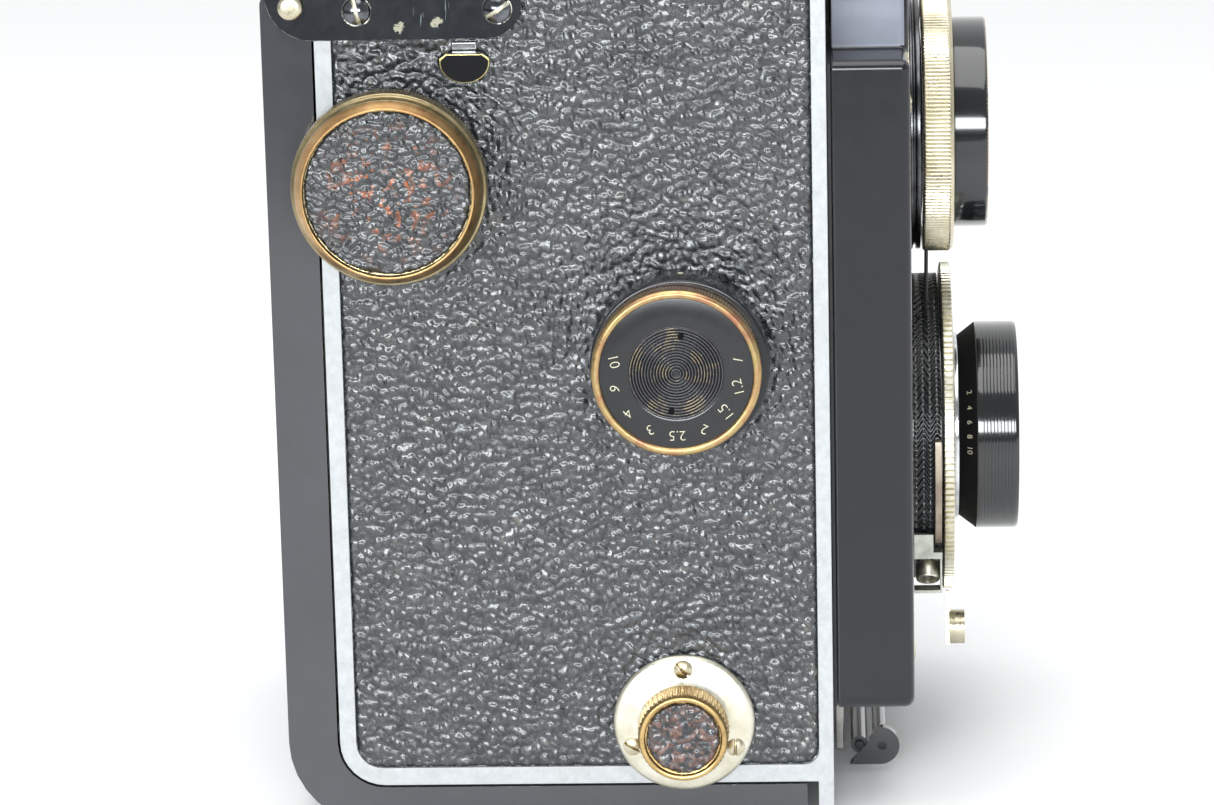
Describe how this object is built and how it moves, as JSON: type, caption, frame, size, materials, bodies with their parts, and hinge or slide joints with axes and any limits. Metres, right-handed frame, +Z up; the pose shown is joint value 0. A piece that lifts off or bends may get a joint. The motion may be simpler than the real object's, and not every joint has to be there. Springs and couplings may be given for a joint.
{
  "type": "twin lens reflex camera",
  "caption": "Leather covered box camera with a viewing lens above a taking lens, folding finder hood, side knobs, focusing front and hinged L-shaped back door",
  "frame": {"origin": "centre of the flat base face", "axes": "+Z up, the lenses face -Y, the wind, focus and supply knobs are on the -X side"},
  "size_m": [0.0872, 0.0991, 0.1322],
  "materials": {
    "leather": "pebbled black leather covering, worn",
    "black_metal": "black lacquered metal, chipped at the edges",
    "aluminium": "matt cast aluminium",
    "nickel": "aged nickel plate, warm",
    "brass": "aged brass, worn bright on the rims",
    "steel": "dull steel",
    "glass": "clear polished glass",
    "ground_glass": "finely ground",
    "mirror": "front silvered",
    "ruby": "ruby red",
    "enamel": "cream enamel"
  },
  "bodies": {
    "body": {"body_shell": "aluminium", "leather_right": "leather", "leather_left": "leather", "mirror": "mirror", "hinge_plate_right": "black_metal", "hinge_plate_left": "black_metal", "hinge_rivet_right": "nickel", "plate_screw_0": "nickel", "plate_screw_1": "nickel", "focus_base_ring": "black_metal", "supply_plate": "nickel", "supply_screw_0": "nickel", "supply_screw_1": "nickel", "supply_screw_2": "nickel", "top_frame": "black_metal", "focusing_screen": "ground_glass", "hood_base": "black_metal", "latch_base": "steel"},
    "counter": {"counter_dial": "enamel"},
    "release_tab": {"release_tab": "black_metal"},
    "wind_drive": {"wind_bush": "nickel"},
    "wind_knob": {"wind_knob": "brass"},
    "takeup_spool": {"takeup_spool": "black_metal"},
    "supply_shaft": {"supply_shaft": "steel"},
    "supply_knob": {"supply_knob": "brass"},
    "supply_spool": {"supply_spool": "black_metal"},
    "roller_lower": {"film_roller_lower": "nickel"},
    "roller_upper": {"film_roller_upper": "nickel"},
    "focus_knob": {"focus_knob": "brass", "focus_shaft": "steel"},
    "standard": {"front_standard": "black_metal", "focus_rack_left": "steel", "focus_rack_right": "steel", "viewing_flange": "black_metal", "viewing_ring": "nickel", "viewing_tube": "black_metal", "viewing_glass": "glass", "shutter_case": "black_metal", "aperture_scale": "brass", "cable_bracket": "steel", "cable_socket": "brass", "taking_barrel": "black_metal", "taking_glass": "glass"},
    "speed_ring": {"speed_ring": "nickel"},
    "cocking_lever": {"cocking_lever": "black_metal"},
    "aperture_lever": {"aperture_lever": "nickel"},
    "release_lever": {"release_lever": "nickel"},
    "hood_lid": {"hood_lid": "leather"},
    "flap_right": {"hood_flap_right": "black_metal"},
    "flap_left": {"hood_flap_left": "black_metal"},
    "flap_rear": {"hood_flap_rear": "black_metal"},
    "loupe": {"loupe_arm": "steel", "loupe_lens": "glass"},
    "back_door": {"back_door": "black_metal", "leather_back": "leather", "tripod_bush": "nickel", "red_window": "ruby"},
    "pressure_plate": {"pressure_plate": "steel"},
    "window_cover": {"window_cover": "nickel"},
    "latch": {"latch_bail": "black_metal"}
  },
  "joints": [
    {"name": "wind_turn", "type": "hinge", "parent": "body", "child": "wind_drive", "pos_m": [-0.038, 0.01975, 0.0887], "axis": [-1, 0, 0], "continuous": true},
    {"name": "wind_pull", "type": "slide", "parent": "wind_drive", "child": "wind_knob", "axis": [-1, 0, 0], "range_m": [0, 0.006], "stiffness_N_per_m": 150},
    {"name": "takeup_spool_turn", "type": "hinge", "parent": "body", "child": "takeup_spool", "pos_m": [0, 0.01975, 0.0887], "axis": [-1, 0, 0], "continuous": true},
    {"name": "counter_turn", "type": "hinge", "parent": "body", "child": "counter", "pos_m": [-0.0379, 0.0147, 0.115], "axis": [-1, 0, 0], "continuous": true},
    {"name": "release_tab_lift", "type": "hinge", "parent": "body", "child": "release_tab", "pos_m": [-0.0383, 0.01, 0.106], "axis": [0, 1, 0], "range_deg": [0, 40], "stiffness_Nm_per_rad": 0.004},
    {"name": "supply_pull", "type": "slide", "parent": "body", "child": "supply_shaft", "axis": [-1, 0, 0], "range_m": [0, 0.006], "stiffness_N_per_m": 150},
    {"name": "supply_knob_turn", "type": "hinge", "parent": "supply_shaft", "child": "supply_knob", "pos_m": [-0.041, -0.0165, 0.0145], "axis": [-1, 0, 0], "continuous": true},
    {"name": "supply_spool_turn", "type": "hinge", "parent": "body", "child": "supply_spool", "pos_m": [0, -0.0165, 0.0145], "axis": [-1, 0, 0], "continuous": true},
    {"name": "roller_lower_turn", "type": "hinge", "parent": "body", "child": "roller_lower", "pos_m": [0, 0.0245, 0.0109], "axis": [1, 0, 0], "continuous": true},
    {"name": "roller_upper_turn", "type": "hinge", "parent": "body", "child": "roller_upper", "pos_m": [0, 0.0266, 0.0752], "axis": [1, 0, 0], "continuous": true},
    {"name": "focus_turn", "type": "hinge", "parent": "body", "child": "focus_knob", "pos_m": [-0.044, -0.0166, 0.0646], "axis": [1, 0, 0], "range_deg": [0, 280]},
    {"name": "standard_slide", "type": "slide", "parent": "body", "child": "standard", "axis": [0, -1, 0], "range_m": [0, 0.00733]},
    {"name": "shutter_speed_turn", "type": "hinge", "parent": "standard", "child": "speed_ring", "pos_m": [0, -0.052, 0.0446], "axis": [0, 1, 0], "range_deg": [0, 150]},
    {"name": "cocking_lever_swing", "type": "hinge", "parent": "standard", "child": "cocking_lever", "pos_m": [0, -0.052, 0.0446], "axis": [0, -1, 0], "range_deg": [0, 35], "stiffness_Nm_per_rad": 0.01},
    {"name": "aperture_lever_swing", "type": "hinge", "parent": "standard", "child": "aperture_lever", "pos_m": [0, -0.052, 0.0446], "axis": [0, 1, 0], "range_deg": [-24, 24]},
    {"name": "release_lever_swing", "type": "hinge", "parent": "standard", "child": "release_lever", "pos_m": [0, -0.052, 0.0446], "axis": [0, -1, 0], "range_deg": [0, 14], "stiffness_Nm_per_rad": 0.02},
    {"name": "hood_lid_turn", "type": "hinge", "parent": "body", "child": "hood_lid", "pos_m": [0, -0.0315, 0.1309], "axis": [1, 0, 0], "range_deg": [0, 90]},
    {"name": "flap_rear_turn", "type": "hinge", "parent": "body", "child": "flap_rear", "pos_m": [0, 0.0293, 0.1262], "axis": [-1, 0, 0], "range_deg": [0, 90]},
    {"name": "flap_right_turn", "type": "hinge", "parent": "body", "child": "flap_right", "pos_m": [-0.0316, 0, 0.124], "axis": [0, -1, 0], "range_deg": [0, 90]},
    {"name": "flap_left_turn", "type": "hinge", "parent": "body", "child": "flap_left", "pos_m": [0.0316, 0, 0.124], "axis": [0, 1, 0], "range_deg": [0, 90]},
    {"name": "loupe_turn", "type": "hinge", "parent": "hood_lid", "child": "loupe", "pos_m": [0, 0.0015, 0.1292], "axis": [-1, 0, 0], "range_deg": [0, 90]},
    {"name": "back_door_turn", "type": "hinge", "parent": "body", "child": "back_door", "pos_m": [0, 0.03205, 0.11145], "axis": [1, 0, 0], "range_deg": [0, 95]},
    {"name": "pressure_plate_slide", "type": "slide", "parent": "back_door", "child": "pressure_plate", "axis": [0, 1, 0], "range_m": [0, 0.0015], "stiffness_N_per_m": 400},
    {"name": "window_cover_swing", "type": "hinge", "parent": "back_door", "child": "window_cover", "pos_m": [0, 0.0369, 0.043], "axis": [0, 1, 0], "range_deg": [0, 80]},
    {"name": "latch_turn", "type": "hinge", "parent": "body", "child": "latch", "pos_m": [0, -0.0398, 0.00377], "axis": [-1, 0, 0], "range_deg": [0, 45]}
  ],
  "couplings": [
    {"joint": "takeup_spool_turn", "follows": "wind_turn", "ratio": 1},
    {"joint": "counter_turn", "follows": "wind_turn", "ratio": 0.125},
    {"joint": "focus_turn", "follows": "standard_slide", "rad_per_m": 666.67},
    {"joint": "flap_rear_turn", "follows": "hood_lid_turn", "ratio": 1},
    {"joint": "flap_right_turn", "follows": "hood_lid_turn", "ratio": 1},
    {"joint": "flap_left_turn", "follows": "hood_lid_turn", "ratio": 1},
    {"joint": "loupe_turn", "follows": "hood_lid_turn", "ratio": 1}
  ]
}
